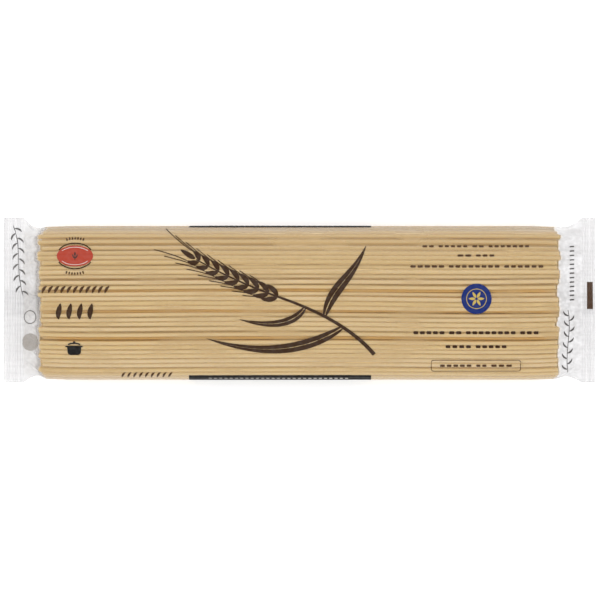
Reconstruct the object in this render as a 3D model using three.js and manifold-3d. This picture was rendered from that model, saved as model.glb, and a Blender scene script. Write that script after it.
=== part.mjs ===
// A clear film packet of long dry pasta, lying flat with its printed front up.
//
// The film clings to the bundle, so every outer strand shows as a ridge. Past the strand
// ends the film runs down in soft pleats, with its sides tucked in, to a flat crimped seal
// at each end. A folded seam runs along the underside.
//
// Millimetres. X runs along the strands, Y across the packet and Z up. The origin is on
// the surface that the packet lies on, under the middle of its outline.

import * as THREE from "three";
import { mergeVertices } from "three/addons/utils/BufferGeometryUtils.js";
import Module from "manifold-3d";

// The whole packet
const PACKET_LENGTH = 293;
const PACKET_WIDTH = 81.3; // across the flat end seals

// The bundle of strands
const STRAND_LENGTH = 256;
const STRAND_PITCH = 2.42; // from one outer strand to the next: they lie a little apart
const BUNDLE_WIDTH = 76;
const BUNDLE_HEIGHT = 24;
const BUNDLE_START_X = -128.4; // the left strand ends
const BUNDLE_SHIFT_Y = -1.2; // the bundle lies a little off the seals' middle
const BUNDLE_SHARES = [0, 0.08, 0.36, 0.64, 0.92, 1]; // where along the strands the section is set
const GATHER = 0.02; // the film draws the bundle in by this share of its width at both ends

// How square the bundle's section is at each shoulder: 2 is an ellipse
const SHOULDER_FAR = 2.7; // top, +Y side, where the bundle slopes away
const SHOULDER_NEAR = 3.6; // top, -Y side, where it stands steeper
const SHOULDER_UNDER = 4.6; // underside, flattened by the surface it lies on
const FLAT_SINK = 0.25; // how far the round underside is pressed flat

// The ridges that the outer strands make in the film
const VALLEY_DEPTH = 0.6;
const DEEPEST_STRAND = 0.4; // the lowest strands sit this far under their neighbours
const STRAND_JITTER = 0.28; // uneven spacing between strands
const STRAND_WANDER = 0.12; // sideways drift along the length
const STRAND_END_JITTER = 0.8; // the strands end this far before or after one another
const CREST_SHARES = [0, 0.28, 0.72]; // valley, then the crest's two edges, across one strand

// The film between the strand ends and the seals
const SLOPE_STEPS = 5;
const SLOPE_HOLLOW = 1.15; // over 1, the slope is a little hollow
const SLOPE_TIP = 0.16; // the film's thickness where it runs into a seal
const SLOPE_TIP_INSET = 0.5; // and how far it stays inside the seal's side edges
const WAIST = 0.2; // the packet narrows by this on each side just past the strands
const PLEAT_DEPTH = 0.55;
const PLEAT_COUNTS = [9, 14, 23]; // round the section, one wave on another
const TUCK_DEPTH = 3.6; // the narrow sides fold inwards between bundle and seal

// The end seals
const LEFT_SEAL_WIDTH = 9.6;
const RIGHT_SEAL_WIDTH = 6.4;
const SEAL_THICKNESS = 0.5;
const SEAL_ROOT = 1.6; // the stretch of the seal that lies inside the film's slope
const SEAL_CURL = 0.9; // how far the seal's free edge waves up and down
const SEAL_CURL_WAVES = 1.6;
const SEAL_STEPS_ACROSS = 10;
const CRIMP_PITCH = 1.2;
const CRIMP_DEPTH = 0.3;

// The seam, folded flat against the underside from seal to seal
const SEAM_WIDTH = 12;
const SEAM_THICKNESS = 0.35;

const SLIVER = 0.01; // edges shorter than this are dropped after joining
const SEED = 7;

const BUNDLE_END_X = BUNDLE_START_X + STRAND_LENGTH;
const MIDDLE_Z = BUNDLE_HEIGHT / 2;
const FULL_TURN = 2 * Math.PI;
const { clamp, lerp, smoothstep } = THREE.MathUtils;

// Random numbers from 0 to 1, the same on every run.
function seeded(seed) {
  let state = seed >>> 0;
  return () => {
    state = (Math.imul(state, 1664525) + 1013904223) >>> 0;
    return state / 4294967296;
  };
}

// The packet's section as a closed curve in Y and Z, walked from the +Y side over the top.
class PacketSection extends THREE.Curve {
  constructor({ halfWidth, halfHeight, centreY }) {
    super();
    this.halfWidth = halfWidth;
    this.halfHeight = halfHeight;
    this.centreY = centreY;
    this.arcLengthDivisions = 1200;
  }

  getPoint(t, target = new THREE.Vector3()) {
    const cosine = Math.cos(FULL_TURN * t);
    const sine = Math.sin(FULL_TURN * t);
    const upper = cosine > 0 ? SHOULDER_FAR : SHOULDER_NEAR;
    const power = 2 / (sine < 0 ? SHOULDER_UNDER : upper);
    const across = Math.sign(cosine) * Math.abs(cosine) ** power;
    const up = Math.sign(sine) * Math.abs(sine) ** power;
    return target.set(0, this.centreY + this.halfWidth * across, MIDDLE_Z + this.halfHeight * up);
  }

  // The point at a share of the way round, moved inwards by a depth.
  inset(share, depth) {
    const point = this.getPointAt(share);
    const tangent = this.getTangentAt(share);
    point.y -= tangent.z * depth;
    point.z += tangent.y * depth;
    return point;
  }
}

// A closed drum along X: place(side, station) gives the point on its wall.
function drum(sides, stations, place) {
  const geometry = new THREE.CylinderGeometry(1, 1, 1, sides, stations);
  const position = geometry.getAttribute("position");
  const point = new THREE.Vector3();
  for (let i = 0; i < position.count; i += 1) {
    point.fromBufferAttribute(position, i);
    const station = Math.round((point.y + 0.5) * stations);
    const turn = Math.atan2(point.x, point.z) / FULL_TURN;
    const side = (Math.round(turn * sides) + sides) % sides;
    const onAxis = Math.hypot(point.x, point.z) < 0.5;
    const placed = onAxis ? middleOfRing(sides, station, place) : place(side, station);
    position.setXYZ(i, placed.x, placed.y, placed.z);
  }
  return geometry;
}

// The middle of one ring of a drum, which its end cap fans out from.
function middleOfRing(sides, station, place) {
  const middle = new THREE.Vector3();
  for (let side = 0; side < sides; side += 1) middle.add(place(side, station));
  return middle.divideScalar(sides);
}

// The section's size over the strands, from 0 at their left ends to 1 at their right ends.
function bundleSize(share) {
  const drawn = share === 0 || share === 1 ? 1 - GATHER : 1;
  return {
    halfWidth: (BUNDLE_WIDTH / 2) * drawn,
    halfHeight: MIDDLE_Z + FLAT_SINK,
    centreY: BUNDLE_SHIFT_Y,
  };
}

// The section's size on the film's slope, from 0 at the strand ends to 1 at the seal.
function slopeSize(share) {
  const flare = smoothstep(share, 0.05, 1);
  const waist = WAIST * Math.sin(Math.PI * Math.min(1, share / 0.35));
  const wide = lerp((BUNDLE_WIDTH / 2) * (1 - GATHER), PACKET_WIDTH / 2 - SLOPE_TIP_INSET, flare);
  return {
    halfWidth: wide - waist * (1 - flare),
    halfHeight: lerp(SLOPE_TIP / 2, MIDDLE_Z + FLAT_SINK, (1 - share) ** SLOPE_HOLLOW),
    centreY: lerp(BUNDLE_SHIFT_Y, 0, flare),
  };
}

// The rings of the packet from one seal to the other, each with its section.
function packetStations() {
  const leftSealX = -PACKET_LENGTH / 2 + LEFT_SEAL_WIDTH;
  const rightSealX = PACKET_LENGTH / 2 - RIGHT_SEAL_WIDTH;
  const places = [];
  for (let step = SLOPE_STEPS; step > 0; step -= 1) {
    const share = step / SLOPE_STEPS;
    places.push({ x: lerp(BUNDLE_START_X, leftSealX, share), share, size: slopeSize(share) });
  }
  for (const share of BUNDLE_SHARES) {
    places.push({ x: lerp(BUNDLE_START_X, BUNDLE_END_X, share), share: 0, size: bundleSize(share) });
  }
  for (let step = 1; step <= SLOPE_STEPS; step += 1) {
    const share = step / SLOPE_STEPS;
    places.push({ x: lerp(BUNDLE_END_X, rightSealX, share), share, size: slopeSize(share) });
  }
  return places.map(({ x, share, size }) => ({ x, share, section: new PacketSection(size) }));
}

// Each outer strand's own looseness.
function strandHabits(count, random) {
  return Array.from({ length: count }, () => ({
    jitter: (random() - 0.5) * 2 * STRAND_JITTER,
    sink: DEEPEST_STRAND * random() ** 2,
    end: (random() - 0.5) * 2 * STRAND_END_JITTER,
    phase: FULL_TURN * random(),
    waves: 0.6 + 1.4 * random(),
  }));
}

// Folds a point of the film's slope: shallow pleats all round, and a tuck in each narrow side.
function foldSlope(point, { share, section }, round, pleats) {
  const bulge = Math.sin(Math.PI * share);
  const height = (point.z - MIDDLE_Z) / section.halfHeight;
  const across = (point.y - section.centreY) / section.halfWidth;
  const waves = pleats.map(({ count, phase }) => Math.sin(FULL_TURN * count * round + phase));
  const wave = waves.reduce((sum, value) => sum + value, 0) / waves.length;
  point.z += PLEAT_DEPTH * bulge * wave * height;
  point.y -= TUCK_DEPTH * bulge * across ** 7 * Math.max(0, 1 - height * height) ** 2;
}

// The bundle in its film, from seal to seal. Every outer strand is a ridge that fades out
// on the slopes, and the seam is a smooth raised strip along the underside.
function filmAndBundle(random) {
  const stations = packetStations();
  const full = stations[SLOPE_STEPS + 1].section.getLength();
  const count = Math.round(full / STRAND_PITCH);
  const habits = strandHabits(count, random);
  const pleats = PLEAT_COUNTS.map((waves) => ({ count: waves, phase: FULL_TURN * random() }));
  const points = CREST_SHARES.length;
  const valley = (index, x) => {
    const strand = habits[index % count];
    const turns = strand.waves * (x / STRAND_LENGTH);
    const drift = STRAND_WANDER * Math.sin(FULL_TURN * turns + strand.phase);
    return (index + (strand.jitter + drift) / STRAND_PITCH) / count;
  };
  return drum(count * points, stations.length - 1, (side, number) => {
    const station = stations[number];
    const index = Math.floor(side / points);
    const across = CREST_SHARES[side % points];
    const round = (lerp(valley(index, station.x), valley(index + 1, station.x), across) + 1) % 1;
    const ridge = (1 - station.share) ** 3;
    const depth = across === 0 ? VALLEY_DEPTH : habits[index].sink;
    const rough = station.section.inset(round, 0);
    const underSeam = rough.z < MIDDLE_Z && Math.abs(rough.y - station.section.centreY) < SEAM_WIDTH / 2;
    const seam = station.share > 0 ? -SEAM_THICKNESS * (1 - station.share) : 0;
    const point = station.section.inset(round, underSeam ? seam : depth * ridge);
    foldSlope(point, station, round, pleats);
    const atEnds = number === SLOPE_STEPS || number === SLOPE_STEPS + BUNDLE_SHARES.length - 1;
    point.x = station.x + (atEnds ? habits[index].end : 0);
    point.z = clamp(point.z, 0, BUNDLE_HEIGHT);
    return point;
  });
}

// A flat crimped seal whose ribs run across the packet. direction is -1 on the left.
function endSeal(width, direction, random) {
  const steps = Math.round((2 * (width + SEAL_ROOT)) / CRIMP_PITCH);
  const geometry = new THREE.BoxGeometry(1, 1, 1, steps, SEAL_STEPS_ACROSS, 1);
  const position = geometry.getAttribute("position");
  const edgeX = (direction * PACKET_LENGTH) / 2;
  const rootX = edgeX - direction * (width + SEAL_ROOT);
  const rootShare = SEAL_ROOT / (width + SEAL_ROOT);
  const phase = FULL_TURN * random();
  for (let i = 0; i < position.count; i += 1) {
    const along = direction * position.getX(i) + 0.5; // 0 at the root, 1 at the free edge
    const across = position.getY(i);
    const rib = Math.round(along * steps) % 2 === 0 ? -0.5 : 0.5;
    const free = Math.max(0, along - rootShare);
    const curl = SEAL_CURL * free * Math.sin(FULL_TURN * SEAL_CURL_WAVES * across + phase);
    const z = MIDDLE_Z + position.getZ(i) * SEAL_THICKNESS + rib * CRIMP_DEPTH + curl;
    position.setXYZ(i, lerp(rootX, edgeX, along), across * PACKET_WIDTH, z);
  }
  return geometry;
}

const wasm = await Module();
wasm.setup();

// A closed geometry as a solid that can be joined to others.
function solidFrom(geometry) {
  geometry.deleteAttribute("normal");
  geometry.deleteAttribute("uv");
  const merged = mergeVertices(geometry, 1e-4);
  return new wasm.Manifold(
    new wasm.Mesh({
      numProp: 3,
      vertProperties: merged.getAttribute("position").array,
      triVerts: new Uint32Array(merged.index.array),
    }),
  );
}

// A joined solid as a geometry again.
function geometryFrom(solid) {
  const mesh = solid.getMesh();
  const geometry = new THREE.BufferGeometry();
  geometry.setAttribute("position", new THREE.BufferAttribute(mesh.vertProperties, 3));
  geometry.setIndex(new THREE.BufferAttribute(mesh.triVerts, 1));
  geometry.computeVertexNormals();
  return geometry;
}

// The packet is one piece of film around its bundle, so it is one solid.
function packetMesh() {
  const random = seeded(SEED);
  const pieces = [
    filmAndBundle(random),
    endSeal(LEFT_SEAL_WIDTH, -1, random),
    endSeal(RIGHT_SEAL_WIDTH, 1, random),
  ];
  const solid = pieces.map(solidFrom).reduce((joined, piece) => joined.add(piece));
  const pasta = new THREE.MeshStandardMaterial({ color: 0xd9b985, roughness: 0.35, metalness: 0 });
  const mesh = new THREE.Mesh(geometryFrom(solid.simplify(SLIVER)), pasta);
  mesh.name = "packet";
  return mesh;
}

const packet = new THREE.Group();
packet.add(packetMesh());

export default packet;
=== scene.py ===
"""Looks of a clear film packet of long dry pasta.

The strands lie loose in a bundle, the film clings to the outer ones and runs down in
pleats to a crimped seal at each end, and thin ink lies on the film. Sizes are in
millimetres in the packet's own frame, X along the strands, Y across and Z up, and turn
into metres where a mesh is made.
"""

import logging
import math
from dataclasses import dataclass, field
from enum import Enum
from typing import Callable, Sequence

import bpy
import numpy as np
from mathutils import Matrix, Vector
from mathutils.bvhtree import BVHTree


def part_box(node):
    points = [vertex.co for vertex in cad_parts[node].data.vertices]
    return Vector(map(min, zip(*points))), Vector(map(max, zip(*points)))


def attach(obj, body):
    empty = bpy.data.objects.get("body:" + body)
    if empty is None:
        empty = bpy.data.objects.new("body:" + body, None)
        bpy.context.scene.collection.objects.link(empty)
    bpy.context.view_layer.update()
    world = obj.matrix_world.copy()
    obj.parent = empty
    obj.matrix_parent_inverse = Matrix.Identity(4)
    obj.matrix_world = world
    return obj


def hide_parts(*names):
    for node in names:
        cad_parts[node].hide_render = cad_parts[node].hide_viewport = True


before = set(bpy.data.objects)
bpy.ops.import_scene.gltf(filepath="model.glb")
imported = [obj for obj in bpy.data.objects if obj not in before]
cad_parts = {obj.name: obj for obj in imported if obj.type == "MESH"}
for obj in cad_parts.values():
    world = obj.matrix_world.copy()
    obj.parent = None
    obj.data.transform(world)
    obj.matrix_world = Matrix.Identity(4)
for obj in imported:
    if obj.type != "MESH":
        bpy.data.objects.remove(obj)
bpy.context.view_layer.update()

log = logging.getLogger("packet")

MM = 0.001
FULL_TURN = 2 * math.pi
WHITE = (1.0, 1.0, 1.0, 1.0)
BODY = "root"
NODE = "packet"


class Slot(Enum):
    """The record's finishes."""

    FILM = "film"
    PASTA = "pasta"
    BROWN = "print_brown"
    RED = "print_red"
    BLUE = "print_blue"
    BLACK = "print_black"
    GOLD = "print_gold"
    GREY = "print_grey"


# Shader graphs


def math_operator(
    operation: str, flipped: bool = False
) -> Callable[["Signal", "Signal | float"], "Signal"]:
    """Makes an operator method that adds one Math node to a signal's graph.

    Args:
        operation: The Math node's operation.
        flipped: True where the signal stands on the right.

    Returns:
        The method.
    """

    def method(self: "Signal", other: "Signal | float") -> "Signal":
        """Works out the operation with another signal or a number."""
        values = (other, self) if flipped else (self, other)
        return self.graph.add("ShaderNodeMath", dict(enumerate(values)), operation=operation)

    return method


class Signal:
    """A shader value. Sums, products and powers with it add Math nodes to its graph."""

    __add__ = math_operator("ADD")
    __radd__ = math_operator("ADD", flipped=True)
    __sub__ = math_operator("SUBTRACT")
    __rsub__ = math_operator("SUBTRACT", flipped=True)
    __mul__ = math_operator("MULTIPLY")
    __rmul__ = math_operator("MULTIPLY", flipped=True)
    __pow__ = math_operator("POWER")

    def __init__(self, graph: "Graph", socket: bpy.types.NodeSocket) -> None:
        """Wraps an output socket of the graph."""
        self.graph = graph
        self.socket = socket

    def clamped(self) -> "Signal":
        """Holds the value between 0 and 1."""
        return self.graph.add("ShaderNodeClamp", {"Value": self, "Min": 0.0, "Max": 1.0})

    def ramp(self, low: float, high: float) -> "Signal":
        """Goes smoothly from 0 at a low value to 1 at a high one."""
        sockets = {"Value": self, "From Min": low, "From Max": high}
        return self.graph.add("ShaderNodeMapRange", sockets, interpolation_type="SMOOTHSTEP")


class Graph:
    """One material's node graph."""

    def __init__(self, name: str) -> None:
        """Makes an empty material.

        Args:
            name: Its name.
        """
        self.material = bpy.data.materials.new(name)
        self.material.use_nodes = True
        self.tree = self.material.node_tree
        self.tree.nodes.clear()

    def add(
        self, kind: str, sockets: dict | None = None, output: str | int = 0, **settings: object
    ) -> Signal:
        """Adds a node.

        Args:
            kind: The node's type.
            sockets: Values or signals for its inputs.
            output: The output to give back.
            settings: The node's own settings, set before its inputs.

        Returns:
            The chosen output.
        """
        node = self.tree.nodes.new(kind)
        for name, value in settings.items():
            setattr(node, name, value)
        for name, value in (sockets or {}).items():
            if isinstance(value, Signal):
                self.tree.links.new(value.socket, node.inputs[name])
            else:
                node.inputs[name].default_value = value
        return Signal(self, node.outputs[output])

    def place(self, scale: tuple[float, float, float]) -> Signal:
        """The point on the object in metres, stretched by a scale."""
        here = self.add("ShaderNodeTexCoord", output="Object")
        return self.add("ShaderNodeMapping", {"Vector": here, "Scale": scale})

    def noise(self, scale: tuple[float, float, float], detail: float = 3.0) -> Signal:
        """Noise of about 0 to 1.

        Args:
            scale: How many blobs there are to a metre along X, Y and Z.
            detail: How many finer layers lie on it.

        Returns:
            The noise value.
        """
        sockets = {"Vector": self.place(scale), "Scale": 1.0, "Detail": detail}
        return self.add("ShaderNodeTexNoise", sockets)

    def attribute(self, name: str) -> Signal:
        """A number stored on the mesh's points."""
        return self.add("ShaderNodeAttribute", output="Fac", attribute_name=name)

    def blend(self, share: Signal, low: Signal | tuple, high: Signal | tuple) -> Signal:
        """Mixes two colours.

        Args:
            share: 0 for the first colour, 1 for the second.
            low: The first colour.
            high: The second colour.

        Returns:
            The mixed colour.
        """
        sockets = {0: share, 6: low, 7: high}
        return self.add("ShaderNodeMix", sockets, output=2, data_type="RGBA")

    def bump(self, height: Signal, strength: float, depth: float) -> Signal:
        """A normal tilted by a height.

        Args:
            height: The height, 0 to 1.
            strength: How strongly it shows.
            depth: What a height of 1 stands for, in metres.

        Returns:
            The normal.
        """
        sockets = {"Height": height, "Strength": strength, "Distance": depth}
        return self.add("ShaderNodeBump", sockets)

    def finish(self, shader: Signal) -> bpy.types.Material:
        """Makes a shader the material's surface.

        Args:
            shader: The shader.

        Returns:
            The material.
        """
        output = self.tree.nodes.new("ShaderNodeOutputMaterial")
        self.tree.links.new(shader.socket, output.inputs["Surface"])
        return self.material


def opaque(red: float, green: float, blue: float) -> tuple[float, ...]:
    """Turns a colour given in sRGB into the one a shader takes.

    Args:
        red: Red, 0 to 255.
        green: Green.
        blue: Blue.

    Returns:
        Linear red, green, blue and alpha.
    """
    shares = np.array([red, green, blue]) / 255
    linear = np.where(shares <= 0.04045, shares / 12.92, ((shares + 0.055) / 1.055) ** 2.4)
    return (*linear.tolist(), 1.0)


@dataclass(frozen=True)
class DryPasta:
    """Dry wheat dough drawn through a rough die: matt and pale, with painted golden bounce light
    and painted shade on the sides where strands meet and in open gaps.
    """

    pale: tuple[float, ...] = opaque(193, 171, 134)
    deep: tuple[float, ...] = opaque(189, 163, 112)
    # Painted light: the golden bounce light and shade between strands, not the dough's own colour.
    painted_meeting_shade: tuple[float, ...] = opaque(213, 178, 106)
    hollow: tuple[float, ...] = opaque(174, 125, 48)
    cut_end: tuple[float, ...] = opaque(216, 198, 160)
    roughness: float = 0.58
    glow: float = 0.3
    glow_reach: tuple[float, float, float] = (1.0, 0.65, 0.28)
    glow_depth: float = 0.0012

    def material(self) -> bpy.types.Material:
        """Builds the finish from the strands' own tone, streaks and grain, with painted shade on
        the sides where strands meet and in the gaps between them.

        Returns:
            The material.
        """
        g = Graph("dry_pasta")
        streak = g.noise((22, 900, 900), detail=2.0)
        grain = g.noise((2600, 2600, 2600), detail=2.0)
        share = (g.attribute("tone") * 0.9 + streak * 0.5 - 0.2).clamped()
        body = g.blend(share, self.pale, self.deep)
        # Painted shade: golden shade on the sides where strands meet, darker over open gaps.
        sides = g.blend(g.attribute("painted_meeting_shade"), body, self.painted_meeting_shade)
        sides = g.blend(g.attribute("hollow"), sides, self.hollow)
        colour = g.blend(g.attribute("cut_end") * 0.8, sides, self.cut_end)
        speck = g.blend(grain.ramp(0.62, 0.78) * 0.2, colour, self.cut_end)
        shader = g.add(
            "ShaderNodeBsdfPrincipled",
            {
                "Base Color": speck,
                "Roughness": grain * 0.2 + (self.roughness - 0.1),
                "Normal": g.bump(grain, 0.35, 0.00012),
                "Specular IOR Level": 0.25,
                "Subsurface Weight": self.glow,
                "Subsurface Radius": self.glow_reach,
                "Subsurface Scale": self.glow_depth,
            },
        )
        return g.finish(shader)


@dataclass(frozen=True)
class ClearFilm:
    """Thin clear film: gloss all over, and a milky bloom where it stands off or creases, whose
    colour carries painted shade and painted strand light.
    """

    milk: tuple[float, ...] = opaque(213, 212, 213)
    # Painted light: a grey for painted shade in the milk, and a strand colour for painted strand
    # light scattered in the film.
    painted_shade_grey: tuple[float, ...] = opaque(132, 127, 124)
    cream: tuple[float, ...] = opaque(192, 161, 107)
    gloss: float = 0.16
    glance: float = 0.025

    def material(self) -> bpy.types.Material:
        """Builds the finish: clear, milky by the bloom on its points, glossy by its angle; the
        milk is greyed by painted shade and tinted the strands' colour by painted strand light.

        Returns:
            The material.
        """
        g = Graph("clear_film")
        fine = g.noise((500, 500, 500), detail=1.0)
        normal = g.bump(fine, 0.1, 0.0002)
        clear = g.add("ShaderNodeBsdfTransparent", {"Color": WHITE})
        # The milk's colour: painted shade greys it, painted strand light tints it like the
        # strands.
        loose = g.blend(g.attribute("shade"), self.milk, self.painted_shade_grey)
        haze = g.blend(g.attribute("painted_strand_light"), loose, self.cream)
        milk = g.add(
            "ShaderNodeBsdfPrincipled",
            {"Base Color": haze, "Roughness": 0.4, "Normal": normal},
        )
        shine = g.add(
            "ShaderNodeBsdfGlossy",
            {"Color": WHITE, "Roughness": self.gloss, "Normal": normal},
        )
        cloud = g.noise((60, 420, 420), detail=4.0) * 0.9 + 0.55
        patch = g.noise((32, 80, 80), detail=3.0).ramp(0.46, 0.66) * g.attribute("painted_strand_light")
        bloom = (g.attribute("bloom") * cloud + patch * 0.3).clamped()
        veil = g.add("ShaderNodeMixShader", {0: bloom, 1: clear, 2: milk})
        turned = g.add("ShaderNodeLayerWeight", {"Blend": 0.5}, output="Facing")
        glance = turned**5 * (1 - self.glance) + self.glance
        sheet = g.add("ShaderNodeMixShader", {0: glance, 1: veil, 2: shine})
        return g.finish(sheet)


@dataclass(frozen=True)
class PrintedInk:
    """Ink on the film, glossy as the film over it is."""

    name: str
    slot: Slot
    colour: tuple[float, ...]
    lift: float = 0.07
    cover: float = 1.0
    mottle: float = 0.03

    def material(self) -> bpy.types.Material:
        """Builds the finish: flat colour with a faint mottle, under gloss.

        Returns:
            The material.
        """
        g = Graph(f"ink_{self.name}")
        mottle = g.noise((500, 500, 500), detail=3.0)
        lighter = tuple(c + (0.5 - c) * self.mottle for c in self.colour[:3]) + (1.0,)
        shader = g.add(
            "ShaderNodeBsdfPrincipled",
            {
                "Base Color": g.blend(mottle.ramp(0.35, 0.75), self.colour, lighter),
                "Roughness": 0.35,
                "Specular IOR Level": 0.12,
                "Alpha": self.cover,
            },
        )
        return g.finish(shader)


BROWN = PrintedInk("brown", Slot.BROWN, opaque(50, 30, 12))
FINE = PrintedInk("fine", Slot.BROWN, opaque(66, 42, 22), lift=0.06, cover=0.9)
RED = PrintedInk("red", Slot.RED, opaque(156, 58, 42))
BLUE = PrintedInk("blue", Slot.BLUE, opaque(12, 34, 96))
GOLD = PrintedInk("gold", Slot.GOLD, opaque(176, 152, 80), lift=0.12)
GREY = PrintedInk("grey", Slot.GREY, opaque(136, 128, 118), lift=0.05, cover=0.5)
DARK = PrintedInk("dark", Slot.GREY, opaque(58, 54, 52), lift=0.12, cover=0.78)
PALE = PrintedInk("pale", Slot.GREY, opaque(216, 210, 204), lift=0.14, cover=0.8)
BLACK = PrintedInk("black", Slot.BLACK, opaque(12, 9, 7))
CREAM = PrintedInk("cream", Slot.GREY, opaque(200, 194, 184), lift=0.16)


@dataclass(frozen=True)
class StudioPaper:
    """The plain pale floor, faintly lit from under it."""

    colour: tuple[float, ...] = opaque(250, 250, 250)
    lit: float = 0.12

    def material(self) -> bpy.types.Material:
        """Builds the finish: matt, with a barely seen tooth.

        Returns:
            The material.
        """
        g = Graph("studio_paper")
        tooth = g.noise((300, 300, 300))
        shader = g.add(
            "ShaderNodeBsdfPrincipled",
            {
                "Base Color": self.colour,
                "Roughness": 0.9,
                "Normal": g.bump(tooth, 0.05, 0.0001),
                "Emission Color": WHITE,
                "Emission Strength": self.lit,
            },
        )
        return g.finish(shader)


# Meshes


def mesh_object(
    name: str,
    points: np.ndarray,
    faces: Sequence[Sequence[int]],
    finish: bpy.types.Material,
    marks: dict[str, np.ndarray] | None = None,
) -> bpy.types.Object:
    """Makes a smooth mesh object whose place is in its mesh.

    Args:
        name: The piece's name.
        points: Its points in millimetres, one row each.
        faces: Its faces as point numbers.
        finish: Its material.
        marks: Numbers for each point, by attribute name.

    Returns:
        The new object.
    """
    mesh = bpy.data.meshes.new(name)
    mesh.from_pydata((points * MM).tolist(), [], [list(map(int, f)) for f in faces])
    for key, values in (marks or {}).items():
        layer = mesh.attributes.new(key, "FLOAT", "POINT")
        layer.data.foreach_set("value", np.asarray(values, dtype=np.float32))
    mesh.materials.append(finish)
    mesh.update()
    made = bpy.data.objects.new(name, mesh)
    bpy.context.scene.collection.objects.link(made)
    mesh.shade_smooth()
    return made


def alone(made: bpy.types.Object) -> None:
    """Selects one object and nothing else.

    Args:
        made: The object.
    """
    bpy.ops.object.select_all(action="DESELECT")
    bpy.context.view_layer.objects.active = made
    made.select_set(True)


def face_outwards(made: bpy.types.Object) -> None:
    """Turns every face of a closed mesh outwards.

    Args:
        made: The mesh.
    """
    alone(made)
    bpy.ops.object.mode_set(mode="EDIT")
    bpy.ops.mesh.select_all(action="SELECT")
    bpy.ops.mesh.normals_make_consistent(inside=False)
    bpy.ops.object.mode_set(mode="OBJECT")
    made.select_set(False)


def thicken(made: bpy.types.Object, sheet: float) -> None:
    """Gives an open sheet a thickness below it, and turns its faces outwards.

    Args:
        made: The sheet.
        sheet: Its thickness in millimetres.
    """
    alone(made)
    solid = made.modifiers.new("sheet", "SOLIDIFY")
    solid.thickness = sheet * MM
    solid.offset = -1.0
    bpy.ops.object.modifier_apply(modifier=solid.name)
    face_outwards(made)


def grid_faces(rows: int, columns: int, closed: bool = False) -> np.ndarray:
    """Quads of a grid of points.

    Args:
        rows: How many rows of points.
        columns: How many points in a row.
        closed: True where the last column joins the first.

    Returns:
        One row of four point numbers for each quad.
    """
    across = np.arange(columns if closed else columns - 1)
    row = np.arange(rows - 1)[:, None] * columns
    here = row + across
    beside = row + (across + 1) % columns
    quads = np.stack([here, beside, beside + columns, here + columns], axis=-1)
    return quads.reshape(-1, 4)


def wave(rng: np.random.Generator, rows: int, shares: np.ndarray, cycles: float) -> np.ndarray:
    """Slow random waves of about -1 to 1.

    Args:
        rng: The random numbers.
        rows: How many separate waves.
        shares: Where to read them, 0 to 1.
        cycles: The quickest wave's number of turns.

    Returns:
        An array of rows by places.
    """
    total = np.zeros((rows, len(shares)))
    for layer in range(1, 4):
        turns = rng.uniform(0.3, cycles * layer / 3, (rows, 1))
        start = rng.uniform(0, FULL_TURN, (rows, 1))
        total += np.sin(FULL_TURN * turns * shares + start) / layer
    return total / 1.4


def ease(value: np.ndarray | float, low: float, high: float) -> np.ndarray | float:
    """Goes smoothly from 0 at low to 1 at high."""
    share = np.clip((value - low) / (high - low), 0, 1)
    return share * share * (3 - 2 * share)


def bell(value: np.ndarray | float, centre: float, width: float) -> np.ndarray | float:
    """Is 1 at the centre and fades to about a third a width away."""
    return np.exp(-(((value - centre) / width) ** 2))


def circle(count: int) -> np.ndarray:
    """Points evenly round a circle of radius 1."""
    turn = np.arange(count) / count * FULL_TURN
    return np.column_stack([np.cos(turn), np.sin(turn)])


@dataclass(frozen=True)
class Section:
    """The packet's outline across the strands: a squarish oval in Y and Z."""

    half_width: float
    half_height: float
    centre_y: float
    centre_z: float
    far_shoulder: float = 2.7
    near_shoulder: float = 3.6
    under_shoulder: float = 4.6
    fine_points: int = 2401
    normal_step: float = 0.002

    def trace(
        self, shares: np.ndarray, depth: np.ndarray | float = 0.0
    ) -> tuple[np.ndarray, np.ndarray]:
        """Walks the outline from the +Y side over the top.

        Args:
            shares: How far round, 0 to 1.
            depth: How far inside the outline.

        Returns:
            The points and the outward normals, Y and Z each.
        """
        turn = np.linspace(0, FULL_TURN, self.fine_points)
        cos, sin = np.cos(turn), np.sin(turn)
        upper = np.where(cos > 0, self.far_shoulder, self.near_shoulder)
        power = 2 / np.where(sin < 0, self.under_shoulder, upper)
        y = self.centre_y + self.half_width * np.sign(cos) * np.abs(cos) ** power
        z = self.centre_z + self.half_height * np.sign(sin) * np.abs(sin) ** power
        along = np.concatenate([[0], np.cumsum(np.hypot(np.diff(y), np.diff(z)))])
        along /= along[-1]
        places = np.asarray(shares) % 1
        before, after = (places - self.normal_step) % 1, (places + self.normal_step) % 1
        ty = np.interp(after, along, y) - np.interp(before, along, y)
        tz = np.interp(after, along, z) - np.interp(before, along, z)
        size = np.hypot(ty, tz) + 1e-12
        normal = np.stack([tz / size, -ty / size], axis=-1)
        point = np.stack([np.interp(places, along, y), np.interp(places, along, z)], axis=-1)
        return point - normal * np.asarray(depth)[..., None], normal

    def share_over(self, y: float) -> float:
        """Finds how far round the outline passes a place on its top side.

        Args:
            y: The place.

        Returns:
            The share of the way round.
        """
        shares = np.linspace(0, 0.5, 2000)
        points, _ = self.trace(shares)
        return float(np.interp(-y, -points[:, 0], shares))

    def length(self) -> float:
        """The way all round the outline."""
        points, _ = self.trace(np.linspace(0, 1, 1200, endpoint=False))
        return float(np.hypot(*(points - np.roll(points, 1, axis=0)).T).sum())


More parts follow.
